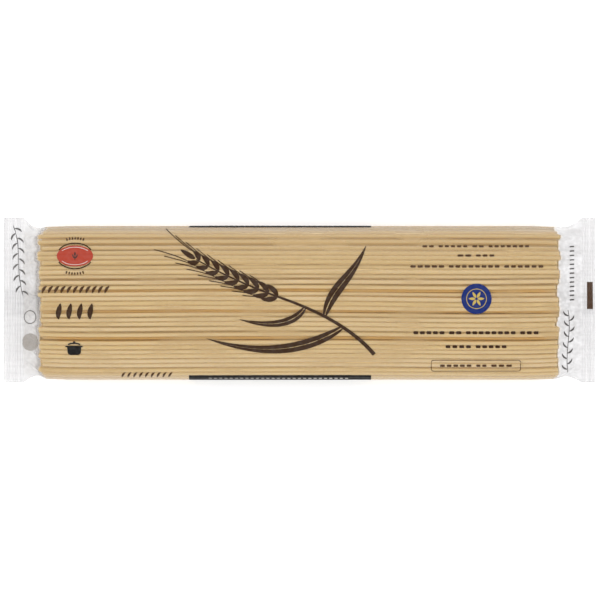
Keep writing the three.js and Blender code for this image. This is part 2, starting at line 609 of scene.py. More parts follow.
@dataclass(frozen=True)
class PacketForm:
    """The sizes that the strands, the film and the ink share."""

    length: float = 293.0
    width: float = 81.3
    bundle_width: float = 76.8
    bundle_top: float = 23.95
    bundle_foot: float = 0.4
    bundle_shift: float = -1.4
    gather: float = 0.011
    left_corner: float = 4.6
    right_corner: float = 2.4
    strands_from: float = -127.7
    strands_to: float = 127.6
    seal_z: float = 12.0
    film: float = 0.06
    limp_reach: float = 0.75
    limp_spread: float = 0.4
    headroom: float = 0.05

    @classmethod
    def from_frame(cls) -> "PacketForm":
        """Reads the packet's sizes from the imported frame.

        The film lies a hair under the solid's top, and the limp seals reach a little further.

        Returns:
            The sizes.
        """
        low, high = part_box(NODE)
        return cls(
            length=(high[0] - low[0]) / MM + 2 * cls.limp_reach,
            width=(high[1] - low[1]) / MM + 2 * cls.limp_spread,
            bundle_top=high[2] / MM - cls.headroom,
        )

    def bundle(self) -> Section:
        """Works out the section over the strands.

        Returns:
            The section.
        """
        half = (self.bundle_top - self.bundle_foot) / 2
        middle = (self.bundle_top + self.bundle_foot) / 2
        return Section(self.bundle_width / 2, half, self.bundle_shift, middle)


@dataclass(frozen=True)
class PacketEnd:
    """One end of the packet: its seal's width, and how the film falls and looks there."""

    side: int
    seal: float
    flare: float
    milk: float
    # The next two: a painted highlight in the milk over the strand ends, and painted shadow
    # greying the slope just past them.
    glint: float
    painted_shadow: float
    seal_shade: float


LEFT_END = PacketEnd(
    side=-1, seal=9.6, flare=1.7, milk=0.48, glint=0.2, painted_shadow=0.92, seal_shade=0.0
)
RIGHT_END = PacketEnd(
    side=1, seal=6.4, flare=1.05, milk=0.76, glint=0.45, painted_shadow=0.15, seal_shade=0.05
)


class Layer(Enum):
    """Where strands lie in the bundle."""

    OUTER = "outer"
    INNER = "inner"


@dataclass(frozen=True)
class RodGrid:
    """How finely a layer's strands are modelled: points round, and stations to a round."""

    sides: int
    every: int


ROD_GRIDS = {Layer.OUTER: RodGrid(sides=14, every=1), Layer.INNER: RodGrid(sides=10, every=3)}


@dataclass
class PastaBundle:
    """The loose strands, each a thin rod with its own tone and slightly uneven ends."""

    form: PacketForm
    radius: float = 1.06
    outer_count: int = 71
    inner_count: int = 306
    end_spread: float = 1.25
    end_drift: float = 0.6
    bevel: float = 0.22
    least_depth: float = 2.4
    shoulders: tuple[float, float] = (0.025, 0.42)
    shoulder_reach: float = 0.045
    shoulder_hold: float = 0.92
    deepest: float = 0.8
    diving_share: float = 0.3
    most_sink: float = 1.25
    gap_shape: float = 0.3
    gap_range: tuple[float, float] = (0.02, 1.6)
    settled_at: int = 7
    settling: tuple[int, int] = (260, 40)
    drift: float = 0.12
    thickness: tuple[float, float] = (0.965, 1.02)
    cut_size: float = 0.72
    seed: int = 11

    def __post_init__(self) -> None:
        """Lays the strands side by side."""
        form, count = self.form, self.outer_count + self.inner_count
        self.rng = np.random.default_rng(self.seed)
        self.shares = 0.5 - 0.5 * np.cos(np.linspace(0, math.pi, 25))
        spread = self.rng.uniform(-self.end_spread, self.end_spread, (2, count))
        spread += self.end_drift * wave(self.rng, 2, np.arange(count) / self.outer_count, 8.0)
        self.starts = form.strands_from + spread[0]
        self.ends = form.strands_to + spread[1]
        self.around, self.sink, self.gaps = self._outer_habits()
        self.outer, self.outward = self._outer_places()
        self.inner = self._inner_places()
        self._round_corners()
        self._tuck_ends()
        drawn_in = 1 - form.gather * ease(np.abs(self.shares - 0.5), 0.45, 0.5)
        for strands in (self.outer, self.inner):
            strands[..., 0] = form.bundle_shift + (strands[..., 0] - form.bundle_shift) * drawn_in

    def _round_corners(self) -> None:
        """Lets the strands along both narrow sides end before the others."""
        middle = np.concatenate([self.outer, self.inner])[:, len(self.shares) // 2, 0]
        across = np.abs(middle - self.form.bundle_shift) / (self.form.bundle_width / 2)
        shorter = ease(across, 0.84, 1.0) ** 1.5
        self.starts += self.form.left_corner * shorter
        self.ends -= self.form.right_corner * shorter

    def _tuck_ends(self) -> None:
        """Keeps the inner strands' ends under the film that slopes down over them."""
        count = self.outer_count
        for station, tips, way in ((0, self.starts, -1), (-1, self.ends, 1)):
            apart = self.inner[:, None, station] - self.outer[None, :, station]
            away = np.hypot(apart[..., 0], apart[..., 1])
            beside = np.argsort(away, axis=1)[:, :3]
            shortest = (way * tips[:count])[beside].min(axis=1)
            room = shortest + 0.8 * away.min(axis=1) - 0.6
            tips[count:] = way * np.minimum(way * tips[count:], room)

    def _outer_habits(self) -> tuple[np.ndarray, np.ndarray, np.ndarray]:
        """Draws the outer strands' places round the section and how deep they sit.

        Returns:
            Their share of the way round, their depth, and the free gap between each and
            the one before it, by strand and station.
        """
        count, rng = self.outer_count, self.rng
        spot = np.arange(count)[:, None] / count
        close = sum(bell(spot, shoulder, self.shoulder_reach) for shoulder in self.shoulders)
        loose = 1 - self.shoulder_hold * np.clip(close, 0, 1)
        deep = rng.uniform(0, 1, (count, 1)) ** 3 * self.deepest
        diving = rng.uniform(0, 1, (count, 1)) < self.diving_share
        swim = ease(wave(rng, count, self.shares, 1.4), 0.0, 0.9)
        sink = deep + diving * swim + 0.10 * wave(rng, count, self.shares, 2.5)
        sink = np.clip(sink, 0, self.most_sink) * loose
        inset = self.radius + self.form.film
        rim = self.form.bundle().length() - FULL_TURN * inset
        step = sink - np.roll(sink, 1, axis=0)
        touching = np.sqrt(np.clip(4 * self.radius**2 - step**2, 1.6, None))
        gap = rng.gamma(self.gap_shape, 1.0, (count, 1))
        gap = gap + 0.10 * wave(rng, count, self.shares, 1.6)
        gap = np.clip(gap * loose, *self.gap_range)
        gap *= (rim - touching.sum(axis=0)) / gap.sum(axis=0)
        around = np.cumsum(touching + gap, axis=0) / rim
        return around, sink, gap

    def _outer_places(self) -> tuple[np.ndarray, np.ndarray]:
        """Works out where the outer strands lie, less deep under the packet than above.

        Returns:
            Their centres and their outward normals, by strand and station.
        """
        under = (self.around > 0.54) & (self.around < 0.96)
        self.sink = np.where(under, self.sink * 0.35, self.sink)
        depth = self.radius + self.form.film + self.sink
        return self.form.bundle().trace(self.around, depth)

    def _inner_places(self) -> np.ndarray:
        """Settles the inner strands inside the outer ones at a few stations.

        Returns:
            Their centres, by strand and station.
        """
        form, rng, reach = self.form, self.rng, 2 * self.radius
        section = form.bundle()
        across = section.half_width - 2 * reach
        up = section.half_height - 2 * reach
        share = rng.uniform(0, 1, (self.inner_count * 6, 2)) * 2 - 1
        inside = np.abs(share[:, 0]) ** 3.2 + np.abs(share[:, 1]) ** 3.2 < 1
        places = share[inside][: self.inner_count] * [across, up]
        places += [section.centre_y, section.centre_z]
        stations = np.linspace(0, len(self.shares) - 1, self.settled_at).round().astype(int)
        settled = []
        for number, station in enumerate(stations):
            wall = self.outer[:, station]
            places = places + rng.normal(0, self.drift, places.shape) * (number > 0)
            for _ in range(self.settling[min(number, 1)]):
                places = self._kept_in(self._push_apart(places, wall, reach))
            settled.append(places)
        at, table = self.shares[stations], np.stack(settled, axis=1)
        return np.apply_along_axis(lambda row: np.interp(self.shares, at, row), 1, table)

    def _kept_in(self, places: np.ndarray) -> np.ndarray:
        """Brings strands that were pushed out between the outer ones back under them.

        Args:
            places: The strands' centres.

        Returns:
            Their new centres.
        """
        section, power = self.form.bundle(), 3.3
        middle = np.array([section.centre_y, section.centre_z])
        reach = np.array([section.half_width, section.half_height]) - self.least_depth
        level = (np.abs((places - middle) / reach) ** power).sum(axis=1, keepdims=True)
        return middle + (places - middle) * np.clip(level, 1, None) ** (-1 / power)

    @staticmethod
    def _push_apart(places: np.ndarray, wall: np.ndarray, reach: float) -> np.ndarray:
        """Moves discs that overlap away from each other and from the fixed ones.

        Args:
            places: The loose discs' centres.
            wall: The fixed discs' centres.
            reach: The least distance between centres.

        Returns:
            The loose discs' new centres.
        """
        others = np.concatenate([places, wall])
        apart = places[:, None] - others[None]
        distance = np.hypot(apart[..., 0], apart[..., 1]) + 1e-9
        overlap = np.clip(reach - distance, 0, None)
        overlap[np.arange(len(places)), np.arange(len(places))] = 0
        weight = np.ones(len(others)) * 0.5
        weight[len(places):] = 1.0
        push = (apart / distance[..., None]) * (overlap * weight)[..., None]
        return places + push.sum(axis=1) * 0.8

    def _rods(
        self, centres: np.ndarray, starts: np.ndarray, ends: np.ndarray, grid: RodGrid
    ) -> tuple[np.ndarray, list[list[int]], np.ndarray]:
        """Rounds of points along each strand.

        Args:
            centres: The strands' centres, by strand and station.
            starts: Where each begins.
            ends: Where each ends.
            grid: How fine they are.

        Returns:
            The points, the faces and each point's nearness to a cut.
        """
        sides = grid.sides
        x = starts[:, None] + self.shares[:: grid.every] * (ends - starts)[:, None]
        x = np.pad(x, ((0, 0), (1, 1)), mode="edge")
        x[:, 0] -= self.bevel
        x[:, -1] += self.bevel
        strands, rounds = x.shape
        size = self.radius * self.rng.uniform(*self.thickness, (strands, 1)) * np.ones(rounds)
        size[:, [0, -1]] *= self.cut_size
        middle = np.pad(centres[:, :: grid.every], ((0, 0), (1, 1), (0, 0)), mode="edge")
        wall = middle[:, :, None] + circle(sides) * size[..., None, None]
        along = np.broadcast_to(x[..., None, None], (*wall.shape[:3], 1))
        points = np.concatenate([along, wall], axis=-1).reshape(-1, 3)
        first = np.arange(strands)[:, None, None] * rounds * sides
        quads = grid_faces(rounds, sides, closed=True) + first
        cap = np.arange(sides)
        caps = np.stack([cap[::-1], cap + (rounds - 1) * sides]) + first
        faces = quads.reshape(-1, 4).tolist() + caps.reshape(-1, sides).tolist()
        cut = np.zeros((strands, rounds, sides))
        cut[:, [0, -1]] = 1
        cut[:, [1, -2]] = 0.5
        return points, faces, cut.ravel()

    def openness(self) -> np.ndarray:
        """Works out how open the gap before each outer strand looks.

        Returns:
            The openness, 0 to 1, by strand and station.
        """
        draw = np.random.default_rng(self.seed + 1)
        seen = ease(wave(draw, self.outer_count, self.shares, 2.2), 0.1, 1.0)
        return np.clip(ease(self.gaps, 0.25, 1.2) + 0.55 * seen * ease(self.gaps, 0.0, 0.2), 0, 1)

    def _sides(self, sides: int) -> tuple[np.ndarray, np.ndarray]:
        """How far each point of the outer rods faces a neighbour, and over how open a gap: the
        masks of the painted shade between strands.

        Args:
            sides: How many points go round a rod.

        Returns:
            The painted shade shares on the meeting sides and over open gaps, point by point.
        """
        ring = circle(sides)
        normal = np.pad(self.outward, ((0, 0), (1, 1), (0, 0)), mode="edge")
        outwards = np.einsum("ktc,sc->kts", normal, ring)
        onwards = normal[..., 0, None] * ring[:, 1] - normal[..., 1, None] * ring[:, 0]
        painted_meeting_shade = 1 - ease(outwards, 0.1, 0.75)
        opened = np.pad(self.openness(), ((0, 0), (1, 1)), mode="edge")
        beside = np.where(onwards > 0, np.roll(opened, -1, axis=0)[..., None], opened[..., None])
        return painted_meeting_shade.ravel(), (painted_meeting_shade * beside).ravel()

    def build(self, name: str, layer: Layer, finish: bpy.types.Material) -> bpy.types.Object:
        """Makes one layer of strands.

        Args:
            name: The piece's name.
            layer: Which layer.
            finish: The strands' material.

        Returns:
            The strands as one mesh.
        """
        outer, grid = layer is Layer.OUTER, ROD_GRIDS[layer]
        centres = self.outer if outer else self.inner
        part = slice(0, self.outer_count) if outer else slice(self.outer_count, None)
        points, faces, cut = self._rods(centres, self.starts[part], self.ends[part], grid)
        tone = self.rng.beta(1.6, 1.8, len(centres))
        marks = {"tone": np.repeat(tone, len(points) // len(centres)), "cut_end": cut}
        # Painted shade between strands: masked by the sides on the outer layer, and all over the
        # inner layer that lies under it.
        if outer:
            marks["painted_meeting_shade"], marks["hollow"] = self._sides(grid.sides)
        else:
            marks["painted_meeting_shade"] = np.ones(len(points))
            marks["hollow"] = np.full(len(points), 0.6)
        return mesh_object(name, points, faces, finish, marks)


@dataclass(frozen=True)
class Round:
    """One round of the film.

    It has its points, how milky each is, how much painted shade greys that milk, and how
    much painted strand light tints the milk with the strands' colour.
    """

    points: np.ndarray
    bloom: np.ndarray
    shade: np.ndarray | float
    painted_strand_light: np.ndarray | float


@dataclass
class FilmSkin:
    """The clear film: over the strands, down the pleated slopes and out to the seals."""

    form: PacketForm
    bundle: PastaBundle
    dip: float = 0.34
    most_sag: float = 0.24
    pleat_depth: float = 0.75
    tuck_depth: float = 3.4
    seal_sheet: float = 0.16
    crimp_pitch: float = 1.3
    crimp_depth: float = 0.16
    band_pitch: float = 3.4
    edge_shade: float = 0.05
    crests: tuple[float, ...] = (-40.0, -14.0, 14.0, 40.0)
    hazy_spots: tuple[float, float] = (0.36, 0.65)
    hazy_reach: float = 0.1
    crease_count: int = 20
    broad_waves: tuple[int, ...] = (5, 8, 13)
    seed: int = 5

    def __post_init__(self) -> None:
        """Works out which strand each point round the film belongs to."""
        self.rng = np.random.default_rng(self.seed)
        self.per_strand = 1 + len(self.crests)
        self.ring = self.bundle.outer_count * self.per_strand
        self.strand = np.arange(self.ring) // self.per_strand
        self.valley = np.arange(self.ring) % self.per_strand == 0
        self.tree: BVHTree | None = None

    def _followed(self) -> np.ndarray:
        """Works out how deep the film lies over each outer strand.

        Returns:
            The depth, by strand and station.
        """
        depth = self.bundle.sink.copy()
        for _ in range(3):
            beside = (np.roll(depth, 1, axis=0) + np.roll(depth, -1, axis=0)) / 2
            depth = np.minimum(depth, beside + self.most_sag)
        return depth

    def _over_strands(self) -> tuple[np.ndarray, np.ndarray, np.ndarray]:
        """The film's points over the strands: one in each valley, then those over the crest.

        Returns:
            Points in Y and Z, shares of the way round and blooms, by ring and station.
        """
        bundle, reach = self.bundle, self.bundle.radius + self.form.film
        normal, around = bundle.outward, bundle.around
        lift = bundle.sink - self._followed()
        centre = bundle.outer + normal * lift[..., None]
        side = np.stack([normal[..., 1], -normal[..., 0]], axis=-1)
        facing = normal + np.roll(normal, 1, axis=0)
        facing /= np.linalg.norm(facing, axis=-1, keepdims=True)
        between = (centre + np.roll(centre, 1, axis=0)) / 2
        step = (around - np.roll(around, 1, axis=0)) % 1
        rows = [between + facing * (reach - self.dip)]
        shares = [around - step / 2]
        blooms = [0.5 * (lift + np.roll(lift, 1, axis=0))] + [lift] * len(self.crests)
        for angle in np.radians(self.crests):
            tilted = normal * math.cos(angle) - side * math.sin(angle)
            rows.append(centre + tilted * reach)
            shares.append(around + reach * math.sin(angle) / self.form.bundle().length())
        points = np.stack(rows, axis=1).reshape(self.ring, -1, 2)
        share = np.stack(shares, axis=1).reshape(self.ring, -1) % 1
        return points, share, np.stack(blooms, axis=1).reshape(self.ring, -1)

    def _slope_section(self, end: PacketEnd, share: float) -> Section:
        """The section on a slope.

        Args:
            end: Which end of the packet.
            share: 0 at the strand ends, 1 at the seal.

        Returns:
            The section there.
        """
        form, start, thin = self.form, self.form.bundle(), self.seal_sheet / 2
        flare = share**end.flare
        narrow = start.half_width * (1 - form.gather)
        return Section(
            half_width=narrow + (form.width / 2 - narrow) * flare,
            half_height=thin + (start.half_height - thin) * (1 - share) ** 1.15,
            centre_y=start.centre_y * (1 - flare),
            centre_z=form.seal_z + (start.centre_z - form.seal_z) * (1 - share),
        )

    def _creases(self) -> np.ndarray:
        """Draws the creases of one slope.

        Returns:
            Place round, drift over the slope, depth and width, one row each.
        """
        rng, count = self.rng, self.crease_count
        drift = rng.normal(0, 0.016, count)
        drift[::5] *= 3.2
        place = rng.uniform(0, 1, count)
        depth = rng.uniform(0.25, 1, count)
        width = rng.uniform(0.006, 0.016, count)
        return np.stack([place, drift, depth, width], axis=-1)

    def _pleats(
        self, share: float, around: np.ndarray, creases: np.ndarray, waves: list[tuple[int, float]]
    ) -> np.ndarray:
        """How far the pleats stand in or out, round the slope.

        Args:
            share: 0 at the strand ends, 1 at the seal.
            around: Shares of the way round.
            creases: From _creases.
            waves: Turns and starts of the broad waves.

        Returns:
            The move outwards at each place.
        """
        swell = math.sin(math.pi * min(1.0, 0.04 + share * 0.9)) ** 0.7
        out = np.zeros_like(around)
        for turns, start in waves:
            out += 0.16 * np.sin(FULL_TURN * turns * around + start + share * 1.5)
        for place, drift, depth, width in creases:
            away = (around - place - drift * (share - 0.3) + 0.5) % 1 - 0.5
            lips = 0.35 * bell(away, 0, width * 2.6)
            out += depth * (lips - np.exp(-(np.abs(away / width) ** 1.4)))
        return self.pleat_depth * swell * out

    def _slope(
        self, end: PacketEnd, edge: np.ndarray, shares: np.ndarray, reach: np.ndarray
    ) -> list[Round]:
        """The film down one slope.

        Args:
            end: Which end of the packet.
            edge: The film's points at the strand ends, Y and Z.
            shares: Their shares of the way round.
            reach: Where the film leaves each strand, in X.

        Returns:
            Its rounds from the strands to the seal.
        """
        form = self.form
        seal_x = end.side * (form.length / 2 - end.seal)
        start, _ = self._slope_section(end, 0.0).trace(shares)
        crest = 0.5 - 0.5 * np.cos(FULL_TURN * np.arange(self.ring) / self.per_strand)
        opened = np.unwrap(shares, period=1)
        creases = self._creases()
        waves = [(turns, self.rng.uniform(0, FULL_TURN)) for turns in self.broad_waves]
        rounds = []
        for share in [0.025, 0.06, *np.linspace(0.11, 1, 17).tolist()]:
            section = self._slope_section(end, share)
            around = opened + (self._evenly(shares) - opened) * share**1.5
            point, normal = section.trace(around)
            fold = self._pleats(share, around % 1, creases, waves)
            height = np.clip((point[:, 1] - section.centre_z) / section.half_height, -1, 1)
            across = (point[:, 0] - section.centre_y) / section.half_width
            swell = math.sin(math.pi * share) ** 1.6
            squash = min(1.0, section.half_height / 3.0)
            point = point + (edge - start) * (1 - share) ** 6 + normal * (fold * squash)[:, None]
            point[:, 0] -= self.tuck_depth * swell * across**7 * np.clip(1 - height**2, 0, 1) ** 2
            point[:, 1] = np.clip(point[:, 1], 0.12, form.bundle_top)
            x = reach + (seal_x - reach) * share
            crease = np.clip(-fold / self.pleat_depth, 0, 1)
            # Painted highlight over the strand ends, painted shadow a little past them, and
            # painted strand light where the film touches the ends.
            glint = bell(share, 0, 0.07) * crest * end.glint
            bloom = end.milk + 0.05 * share + 0.22 * crease + glint
            painted_shadow = end.painted_shadow * bell(share, 0.12, 0.13)
            held = 0.5 * bell(share, 0, 0.05)
            rounds.append(Round(np.column_stack([x, point]), bloom, painted_shadow, held))
        return rounds

    def _evenly(self, shares: np.ndarray) -> np.ndarray:
        """Spreads the ring's points evenly round the section, from the first one's share."""
        return shares[0] + np.arange(self.ring) / self.ring

    def _seal(self, end: PacketEnd, shares: np.ndarray) -> list[Round]:
        """The film over one crimped seal.

        Args:
            end: Which end of the packet.
            shares: The ring's shares of the way round at the strand ends.

        Returns:
            Its rounds from the root to the free edge.
        """
        form, width = self.form, end.seal
        count = round(width / (self.crimp_pitch / 4))
        flat = Section(form.width / 2, self.seal_sheet / 2, 0.0, form.seal_z)
        point, _ = flat.trace(self._evenly(shares))
        share_y = point[:, 0] / form.width
        curl = self.rng.uniform(0, FULL_TURN, 4)
        rounds = []
        for step in range(1, count + 1):
            out = width * step / count
            ribbed = math.sin(FULL_TURN * out / self.crimp_pitch)
            band = np.sin(FULL_TURN * (out / self.band_pitch + 0.7 * share_y) + curl[3])
            bend = 0.9 * (out / width) ** 1.3 * np.sin(FULL_TURN * 1.6 * share_y + curl[0])
            ripple = np.sin(FULL_TURN * 5.3 * share_y + curl[1] + out * 0.4)
            moved = point.copy()
            moved[:, 1] += self.crimp_depth * ribbed + bend + 0.22 * (out / width) * ripple
            moved[:, 0] *= 1 - 0.004 * math.sin(out * 1.7 + curl[2]) ** 2
            x = np.full(self.ring, end.side * (form.length / 2 - width + out))
            bloom = 0.62 + 0.12 * ribbed + 0.1 * band
            shade = self.edge_shade if step == count else end.seal_shade
            rounds.append(Round(np.column_stack([x, moved]), bloom, shade, 0.0))
        return rounds

    def _over_bundle(
        self, points: np.ndarray, lift: np.ndarray, starts: np.ndarray, ends: np.ndarray
    ) -> list[Round]:
        """The film over the strands.

        Args:
            points: Y and Z, by ring and station.
            lift: How far the film stands off the strands, by ring and station.
            starts: Where each ring point leaves the strands on the left.
            ends: Where it leaves them on the right.

        Returns:
            Its rounds from the left to the right.
        """
        bundle = self.bundle
        share = bundle.shares
        painted_fill_wave = ease(wave(self.rng, bundle.outer_count, share, 1.6), 0.0, 1.0)
        over, shade, painted_strand_light = self._shoulders(points)
        over += np.where(self.valley, 0.01, 0.05)[:, None] + 0.08 * lift
        # Painted fill light: strand-tinted milk over closed gaps lightens their shade, more where
        # a slow wave rises.
        over[self.valley] += (0.44 + 0.3 * painted_fill_wave) * (1 - bundle.openness())
        over += 0.06 * ease(np.abs(share - 0.5), 0.44, 0.5)
        over += 0.09 * sum(bell(share, spot, self.hazy_reach) for spot in self.hazy_spots)
        x = starts[:, None] + share * (ends - starts)[:, None]
        place = np.concatenate([x[..., None], points], axis=-1)
        return [
            Round(place[:, station], over[:, station], shade[:, station], painted_strand_light[:, station])
            for station in range(len(share))
        ]

    def build(self, name: str, finish: bpy.types.Material) -> bpy.types.Object:
        """Makes the film as one closed skin.

        Args:
            name: The piece's name.
            finish: The film's material.

        Returns:
            The film.
        """
        bundle = self.bundle
        points, shares, lift = self._over_strands()
        starts = -self._held_off(-self._at_ring(bundle.starts))
        ends = self._held_off(self._at_ring(bundle.ends))
        rounds = self._over_bundle(points, lift, starts, ends)
        left = self._slope(LEFT_END, points[:, 0], shares[:, 0], starts)
        right = self._slope(RIGHT_END, points[:, -1], shares[:, -1], ends)
        left += self._seal(LEFT_END, shares[:, 0])
        right += self._seal(RIGHT_END, shares[:, -1])
        rounds = left[::-1] + rounds + right
        faces = grid_faces(len(rounds), self.ring, closed=True).tolist()
        last = (len(rounds) - 1) * self.ring
        faces.append(list(range(self.ring))[::-1])
        faces.append(list(range(last, last + self.ring)))
        marks = {
            key: np.concatenate([np.broadcast_to(getattr(r, key), self.ring) for r in rounds])
            for key in ("bloom", "shade", "painted_strand_light")
        }
        places = np.concatenate([r.points for r in rounds])
        made = mesh_object(name, places, faces, finish, marks)
        face_outwards(made)
        self.tree = BVHTree.FromObject(made, bpy.context.evaluated_depsgraph_get())
        return made

    def _at_ring(self, tips: np.ndarray) -> np.ndarray:
        """Where strands end at each ring point: in a valley, midway between the two beside it."""
        here, before = tips[self.strand], tips[self.strand - 1]
        return np.where(self.valley, (here + before) / 2, here)

    def _held_off(self, ends: np.ndarray) -> np.ndarray:
        """Where the film leaves the bundle: the longest strands near by hold it off.

        Args:
            ends: How far out the strand under each ring point reaches.

        Returns:
            How far out the film is.
        """
        reach = self.per_strand
        longest = np.max([np.roll(ends, move) for move in range(-reach, reach + 1)], axis=0)
        soft = np.mean([np.roll(longest, move) for move in range(-4, 5)], axis=0)
        return 0.25 * soft + 0.75 * ends + 0.3

    def _shoulders(self, points: np.ndarray) -> tuple[np.ndarray, np.ndarray, np.ndarray]:
        """How milky the film is where it bridges the bundle's shoulders, and the painted shade and
        painted strand light in its milk there.

        Args:
            points: The film's points, Y and Z, by ring and station.

        Returns:
            The bloom, the painted shade and the painted strand light share, by ring and station.
        """
        section = self.form.bundle()
        across = (points[..., 0] - section.centre_y) / section.half_width
        height = points[..., 1] / self.form.bundle_top
        far = ease(across, 0.86, 0.97) * ease(height, 0.35, 0.7)
        near = ease(-across, 0.90, 0.985) * ease(height, 0.45, 0.8)
        broad = ease(across, 0.4, 0.75) * ease(height, 0.6, 0.9)
        # Painted shade greys the milk on the far shoulder and a little on the near one, where the
        # painted strand light is weaker; broad spreads strand-tinted milk over the upper side.
        bloom = 0.3 * far + 0.26 * near + 0.22 * broad
        return bloom, 0.8 * far + 0.1 * near, 1 - 0.6 * far - 0.4 * near

    def _meet(self, start: Sequence[float], way: Vector) -> tuple[Vector, Vector]:
        """Follows a ray to the film.

        Args:
            start: Where it begins, in millimetres.
            way: Its direction.

        Returns:
            Where it meets the film, in millimetres, and the film's normal there.
        """
        hit, normal, _, _ = self.tree.ray_cast(Vector(start) * MM, way)
        if hit is None:
            raise ValueError(f"no film past {tuple(start)}")
        return hit / MM, normal

    def drop(self, places: np.ndarray, lift: float) -> np.ndarray:
        """Lays flat places down on the film from above.

        Args:
            places: X and Y.
            lift: How far over the film they come to lie.

        Returns:
            The points on the film.
        """
        laid = []
        for x, y in places:
            hit, normal = self._meet((x, y, 100.0), Vector((0, 0, -1)))
            normal.z = abs(normal.z)
            laid.append(hit + normal * lift)
        return np.array(laid)

    def under(self, places: np.ndarray) -> np.ndarray:
        """How high the film's underside is over each place, given as X and Y."""
        return np.array([self._meet((x, y, -10.0), Vector((0, 0, 1)))[0].z for x, y in places])

    def wrap(self, along: np.ndarray, around: np.ndarray, lift: float) -> np.ndarray:
        """Lays places given along and round the packet on the film.

        Args:
            along: X.
            around: Shares of the way round the section.
            lift: How far over the film they come to lie.

        Returns:
            The points on the film.
        """
        outside = np.full(len(around), -4.0)
        points, normals = self.form.bundle().trace(around, outside)
        laid = []
        for x, point, normal in zip(along, points, normals):
            inwards = Vector((0, *-normal))
            laid.append(self._meet((x, *point), inwards)[0] - inwards * lift)
        return np.array(laid)


@dataclass
class BackSeam:
    """The film's long seam: its two edges crimped together and folded flat underneath."""

    form: PacketForm
    film: FilmSkin
    width: float = 12.0
    sheet: float = 0.14
    gap: float = 0.04
    rib_pitch: float = 1.5
    rib_height: float = 0.05
    end_inset: float = 0.3
    fine_step: float = 0.35
    coarse_step: float = 4.0
    milk: float = 0.4

    def build(self, name: str, finish: bpy.types.Material) -> bpy.types.Object:
        """Makes the seam from one free edge of the packet to the other.

        Args:
            name: The piece's name.
            finish: The film's material.

        Returns:
            The seam.
        """
        form, fine = self.form, self.fine_step
        tip = form.length / 2 - self.end_inset
        left, right = form.strands_from + self.coarse_step, form.strands_to - self.coarse_step
        middle = np.arange(left, right, self.coarse_step)
        before, after = np.arange(0, tip + left, fine) - tip, tip - np.arange(0, tip - right, fine)
        along = np.concatenate([before, middle, after[::-1]])
        across = np.linspace(-self.width / 2, self.width / 2, 33)
        x, y = np.meshgrid(along, across + form.bundle_shift, indexing="ij")
        height = self.film.under(np.column_stack([x.ravel(), y.ravel()])).reshape(x.shape)
        lowest = height.min(axis=1, keepdims=True) - self.gap
        rib = self.rib_height * (np.cos(FULL_TURN * across / self.rib_pitch) - 1) / 2
        points = np.stack([x, y, lowest + rib], axis=-1).reshape(-1, 3)
        marks = dict.fromkeys(("shade", "painted_strand_light"), np.zeros(x.size))
        marks["bloom"] = np.full(x.size, self.milk)
        made = mesh_object(name, points, grid_faces(*x.shape), finish, marks)
        thicken(made, self.sheet)
        return made


# Ink


PEN_STEP = 0.45


def bezier(*corners: Sequence[float], step: float = PEN_STEP) -> np.ndarray:
    """A cubic curve for a pen line.

    Args:
        corners: Its four control points.
        step: The distance between points, about.

    Returns:
        Points along it.
    """
    a, b, c, d = np.array(corners, dtype=float)
    rough = np.hypot(*(b - a)) + np.hypot(*(c - b)) + np.hypot(*(d - c))
    t = np.linspace(0, 1, max(6, round(rough / step)))[:, None]
    return (1 - t) ** 3 * a + 3 * (1 - t) ** 2 * t * b + 3 * (1 - t) * t**2 * c + t**3 * d


def arc(
    centre: tuple[float, float], radii: tuple[float, float], start: float, stop: float
) -> np.ndarray:
    """Points along an oval's rim.

    Args:
        centre: Its centre.
        radii: Its half width and half height.
        start: Where it begins, in degrees.
        stop: Where it ends, in degrees.

    Returns:
        Points along it.
    """
    sweep = math.radians(abs(stop - start))
    count = max(10, round(sweep * max(radii) / PEN_STEP))
    turn = np.radians(np.linspace(start, stop, count))
    return centre + np.column_stack([np.cos(turn), np.sin(turn)]) * radii


def left_of(line: np.ndarray) -> np.ndarray:
    """Finds the direction to the left at each of a line's points.

    Args:
        line: Its points.

    Returns:
        The directions, each one long.
    """
    along = np.gradient(line, axis=0)
    along /= np.linalg.norm(along, axis=1, keepdims=True) + 1e-9
    return np.column_stack([-along[:, 1], along[:, 0]])


def heading(line: np.ndarray, index: int) -> tuple[np.ndarray, np.ndarray]:
    """Finds the directions ahead and to the left at one of a line's points.

    Args:
        line: Its points.
        index: Which of them.

    Returns:
        The two directions, each one long.
    """
    ahead = line[index + 1] - line[index]
    forward = ahead / np.linalg.norm(ahead)
    return forward, np.array([-forward[1], forward[0]])


